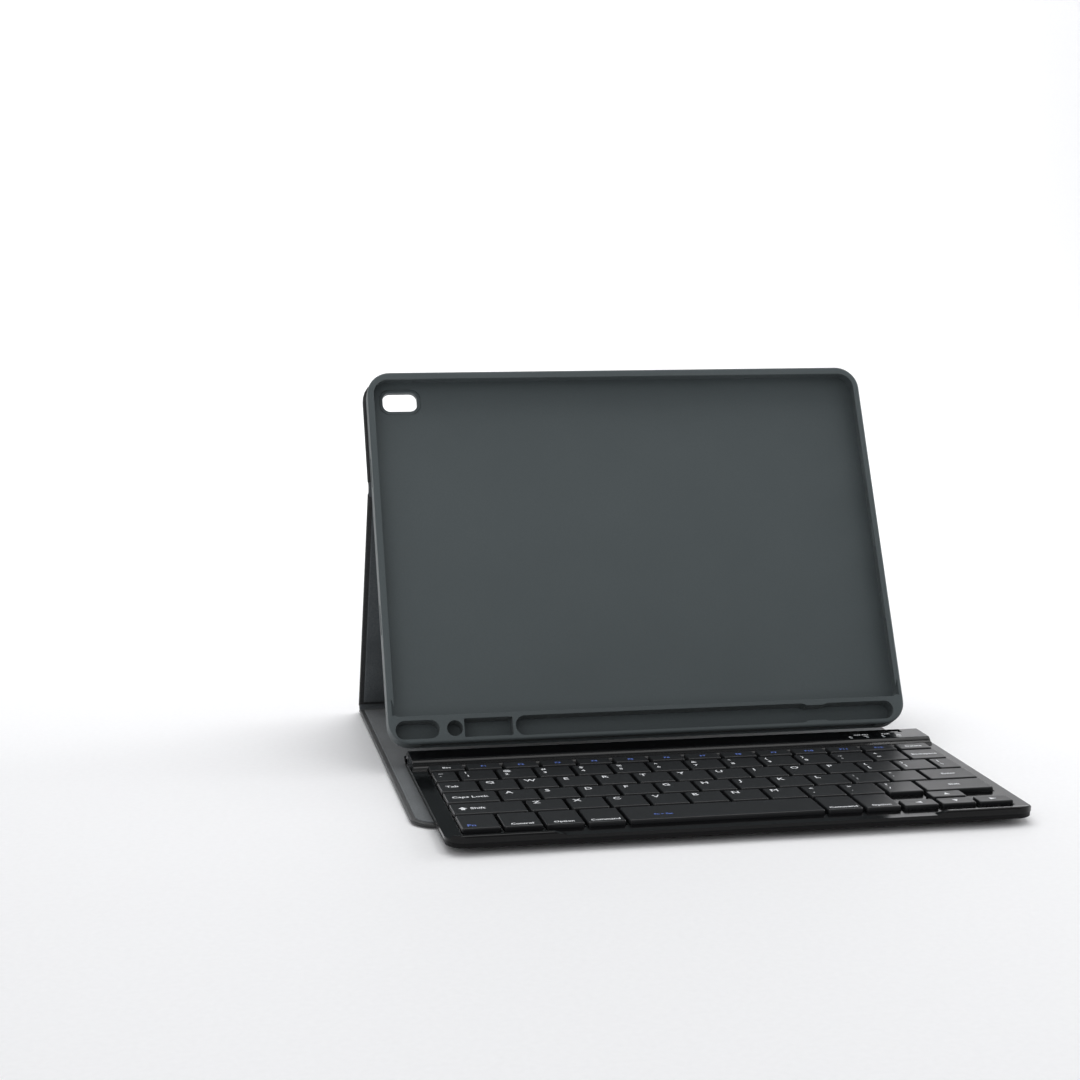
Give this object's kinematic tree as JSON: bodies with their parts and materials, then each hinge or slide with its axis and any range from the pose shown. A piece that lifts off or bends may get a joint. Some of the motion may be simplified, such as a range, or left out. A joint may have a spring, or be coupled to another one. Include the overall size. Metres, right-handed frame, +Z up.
{
  "type": "tablet keyboard case",
  "caption": "Leather folio tablet case open as a stand, with a soft tray for the tablet, a stylus slot and a thin removable keyboard held by magnets.",
  "frame": {"origin": "on the table under the middle of the tray's lower front edge, on the underside of the cover", "axes": "+Z up, +Y away from the typist, +X to the typist's right"},
  "size_m": [0.263, 0.2679, 0.1817],
  "materials": {
    "folio_leather": "fine-grained charcoal polyurethane leather, satin",
    "microfibre_lining": "brushed grey microfibre",
    "stiffener_board": "plain pressed fibreboard",
    "soft_tray": "matte slate-grey thermoplastic polyurethane",
    "adhesive": "dry transfer adhesive sheet",
    "magnet": "nickel-plated disc magnet",
    "gloss_case": "glossy black ABS",
    "matte_case": "fine-textured black ABS",
    "keycap": "fine-textured black ABS with white printed legends",
    "plate_metal": "pressed sheet",
    "membrane": "printed polyester film",
    "silicone": "translucent silicone",
    "acetal": "white acetal",
    "circuit_board": "solder-masked glass-epoxy",
    "battery_foil": "laminated foil pouch",
    "steel": "bright stamped steel",
    "indicator_lens": "frosted clear polycarbonate",
    "rubber_foot": "black rubber"
  },
  "bodies": {
    "front_cover": {"cover_leather": "folio_leather", "cover_lining": "microfibre_lining", "wide_board": "stiffener_board", "narrow_board": "stiffener_board", "spine_board": "stiffener_board", "cover_magnets": "magnet"},
    "stand_leg": {"leg_leather": "folio_leather", "leg_board": "stiffener_board", "leg_lining": "microfibre_lining"},
    "tray": {"tray_shell": "soft_tray", "upper_leather": "folio_leather", "upper_board": "stiffener_board", "adhesive_sheet": "adhesive"},
    "keyboard": {"keyboard_top_case": "gloss_case", "keyboard_bottom_case": "matte_case", "support_plate": "plate_metal", "membrane_sheet": "membrane", "rubber_domes": "silicone", "scissor_frames": "acetal", "controller_board": "circuit_board", "battery_cell": "battery_foil", "charging_port": "steel", "indicator_lenses": "indicator_lens", "rubber_feet": "rubber_foot", "keyboard_magnets": "magnet", "case_screws": "steel"},
    "power_switch": {"power_switch": "matte_case"},
    "pairing_button": {"pairing_button": "matte_case"},
    "function_row_keys": {"function_row_keys": "keycap"},
    "number_row_keys": {"number_row_keys": "keycap"},
    "backspace_key": {"backspace_key": "keycap"},
    "tab_key": {"tab_key": "keycap"},
    "upper_letter_keys": {"upper_letter_keys": "keycap"},
    "caps_lock_key": {"caps_lock_key": "keycap"},
    "home_letter_keys": {"home_letter_keys": "keycap"},
    "enter_key": {"enter_key": "keycap"},
    "left_shift_key": {"left_shift_key": "keycap"},
    "lower_letter_keys": {"lower_letter_keys": "keycap"},
    "right_shift_key": {"right_shift_key": "keycap"},
    "fn_key": {"fn_key": "keycap"},
    "control_key": {"control_key": "keycap"},
    "option_key": {"option_key": "keycap"},
    "command_key": {"command_key": "keycap"},
    "space_bar": {"space_bar": "keycap"},
    "right_command_key": {"right_command_key": "keycap"},
    "right_option_key": {"right_option_key": "keycap"},
    "left_arrow_key": {"left_arrow_key": "keycap"},
    "up_arrow_key": {"up_arrow_key": "keycap"},
    "down_arrow_key": {"down_arrow_key": "keycap"},
    "right_arrow_key": {"right_arrow_key": "keycap"}
  },
  "joints": [
    {"name": "stand_fold", "type": "hinge", "parent": "stand_leg", "child": "tray", "pos_m": [0, 0.07022, 0.12567], "axis": [1, 0, 0], "range_deg": [0, 52.4]},
    {"name": "leg_tilt", "type": "hinge", "parent": "front_cover", "child": "stand_leg", "pos_m": [0, 0.1302, 0.0011], "axis": [1, 0, 0], "range_deg": [-25.74, 0]},
    {"name": "keyboard_slide", "type": "slide", "parent": "front_cover", "child": "keyboard", "axis": [0, -1, 0], "range_m": [0, 0.15]},
    {"name": "power_switch_slide", "type": "slide", "parent": "keyboard", "child": "power_switch", "axis": [1, 0, 0], "range_m": [0, 0.003]},
    {"name": "pairing_button_press", "type": "slide", "parent": "keyboard", "child": "pairing_button", "axis": [0, 0, -1], "range_m": [0, 0.0006], "stiffness_N_per_m": 1000},
    {"name": "function_row_keys_press", "type": "slide", "parent": "keyboard", "child": "function_row_keys", "axis": [0, 0, -1], "range_m": [0, 0.0013], "stiffness_N_per_m": 7000},
    {"name": "number_row_keys_press", "type": "slide", "parent": "keyboard", "child": "number_row_keys", "axis": [0, 0, -1], "range_m": [0, 0.0013], "stiffness_N_per_m": 6500},
    {"name": "backspace_key_press", "type": "slide", "parent": "keyboard", "child": "backspace_key", "axis": [0, 0, -1], "range_m": [0, 0.0013], "stiffness_N_per_m": 500},
    {"name": "tab_key_press", "type": "slide", "parent": "keyboard", "child": "tab_key", "axis": [0, 0, -1], "range_m": [0, 0.0013], "stiffness_N_per_m": 500},
    {"name": "upper_letter_keys_press", "type": "slide", "parent": "keyboard", "child": "upper_letter_keys", "axis": [0, 0, -1], "range_m": [0, 0.0013], "stiffness_N_per_m": 6500},
    {"name": "caps_lock_key_press", "type": "slide", "parent": "keyboard", "child": "caps_lock_key", "axis": [0, 0, -1], "range_m": [0, 0.0013], "stiffness_N_per_m": 500},
    {"name": "home_letter_keys_press", "type": "slide", "parent": "keyboard", "child": "home_letter_keys", "axis": [0, 0, -1], "range_m": [0, 0.0013], "stiffness_N_per_m": 5500},
    {"name": "enter_key_press", "type": "slide", "parent": "keyboard", "child": "enter_key", "axis": [0, 0, -1], "range_m": [0, 0.0013], "stiffness_N_per_m": 500},
    {"name": "left_shift_key_press", "type": "slide", "parent": "keyboard", "child": "left_shift_key", "axis": [0, 0, -1], "range_m": [0, 0.0013], "stiffness_N_per_m": 500},
    {"name": "lower_letter_keys_press", "type": "slide", "parent": "keyboard", "child": "lower_letter_keys", "axis": [0, 0, -1], "range_m": [0, 0.0013], "stiffness_N_per_m": 5000},
    {"name": "right_shift_key_press", "type": "slide", "parent": "keyboard", "child": "right_shift_key", "axis": [0, 0, -1], "range_m": [0, 0.0013], "stiffness_N_per_m": 500},
    {"name": "fn_key_press", "type": "slide", "parent": "keyboard", "child": "fn_key", "axis": [0, 0, -1], "range_m": [0, 0.0013], "stiffness_N_per_m": 500},
    {"name": "control_key_press", "type": "slide", "parent": "keyboard", "child": "control_key", "axis": [0, 0, -1], "range_m": [0, 0.0013], "stiffness_N_per_m": 500},
    {"name": "option_key_press", "type": "slide", "parent": "keyboard", "child": "option_key", "axis": [0, 0, -1], "range_m": [0, 0.0013], "stiffness_N_per_m": 500},
    {"name": "command_key_press", "type": "slide", "parent": "keyboard", "child": "command_key", "axis": [0, 0, -1], "range_m": [0, 0.0013], "stiffness_N_per_m": 500},
    {"name": "space_bar_press", "type": "slide", "parent": "keyboard", "child": "space_bar", "axis": [0, 0, -1], "range_m": [0, 0.0013], "stiffness_N_per_m": 500},
    {"name": "right_command_key_press", "type": "slide", "parent": "keyboard", "child": "right_command_key", "axis": [0, 0, -1], "range_m": [0, 0.0013], "stiffness_N_per_m": 500},
    {"name": "right_option_key_press", "type": "slide", "parent": "keyboard", "child": "right_option_key", "axis": [0, 0, -1], "range_m": [0, 0.0013], "stiffness_N_per_m": 500},
    {"name": "left_arrow_key_press", "type": "slide", "parent": "keyboard", "child": "left_arrow_key", "axis": [0, 0, -1], "range_m": [0, 0.0013], "stiffness_N_per_m": 500},
    {"name": "up_arrow_key_press", "type": "slide", "parent": "keyboard", "child": "up_arrow_key", "axis": [0, 0, -1], "range_m": [0, 0.0013], "stiffness_N_per_m": 500},
    {"name": "down_arrow_key_press", "type": "slide", "parent": "keyboard", "child": "down_arrow_key", "axis": [0, 0, -1], "range_m": [0, 0.0013], "stiffness_N_per_m": 500},
    {"name": "right_arrow_key_press", "type": "slide", "parent": "keyboard", "child": "right_arrow_key", "axis": [0, 0, -1], "range_m": [0, 0.0013], "stiffness_N_per_m": 500}
  ],
  "couplings": [
    {"joint": "leg_tilt", "follows": "stand_fold", "ratio": -0.4907}
  ]
}
